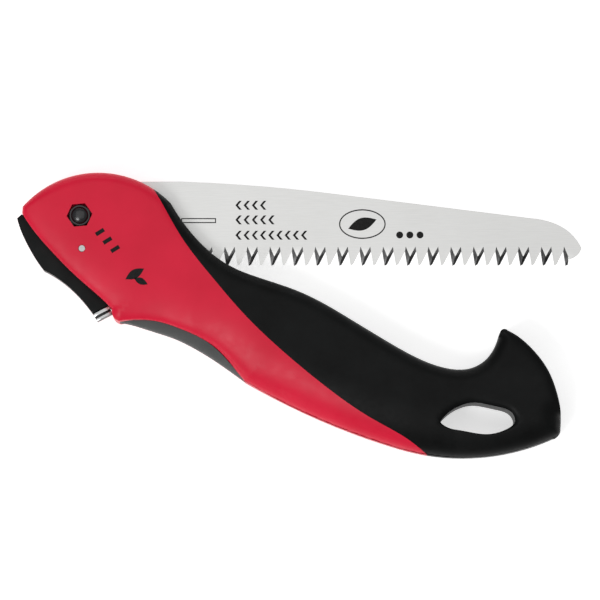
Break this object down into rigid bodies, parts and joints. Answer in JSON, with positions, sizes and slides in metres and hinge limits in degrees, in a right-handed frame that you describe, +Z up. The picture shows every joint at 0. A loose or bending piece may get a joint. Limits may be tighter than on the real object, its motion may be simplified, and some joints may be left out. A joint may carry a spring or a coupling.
{
  "type": "folding pruning saw",
  "caption": "Folding pull-stroke pruning saw with a hooked, rubber-gripped red handle, a toothed steel blade and a locking lever.",
  "frame": {"origin": "on the plane the saw rests on, under the blade pivot's axis", "axes": "+X from the pivot towards the blade's tip as modelled, +Y towards the blade's spine, +Z up out of the saw's side"},
  "size_m": [0.227, 0.1143, 0.025],
  "materials": {
    "red_nylon": "satin moulded nylon",
    "grip_rubber": "fine matt rubber",
    "pad_rubber": "matt rubber",
    "blade_steel": "satin ground steel",
    "black_steel": "black oxide",
    "bright_steel": "bright",
    "washer_plastic": "plain",
    "lever_plastic": "fine moulded"
  },
  "bodies": {
    "handle": {"upper_shell": "red_nylon", "lower_shell": "red_nylon", "upper_grip": "grip_rubber", "lower_grip": "grip_rubber", "spine_pad": "pad_rubber", "pivot_nut": "black_steel", "pivot_bolt": "black_steel", "pivot_bushing": "bright_steel", "upper_thrust_washer": "washer_plastic", "lower_thrust_washer": "washer_plastic", "nut_washer": "bright_steel", "bolt_washer": "bright_steel", "lever_pin": "bright_steel", "lever_spring": "bright_steel", "shell_screws": "black_steel"},
    "blade": {"blade": "blade_steel"},
    "lock_lever": {"lever_core": "bright_steel", "lever_cover": "lever_plastic"}
  },
  "joints": [
    {"name": "blade_fold", "type": "hinge", "parent": "handle", "child": "blade", "pos_m": [0, 0, 0.0125], "axis": [0, 0, 1], "range_deg": [-17.5, 145]},
    {"name": "lever_rock", "type": "hinge", "parent": "handle", "child": "lock_lever", "pos_m": [0.00096, -0.0134, 0.0125], "axis": [0, 0, 1], "range_deg": [-6, 8], "stiffness_Nm_per_rad": 0.3}
  ]
}
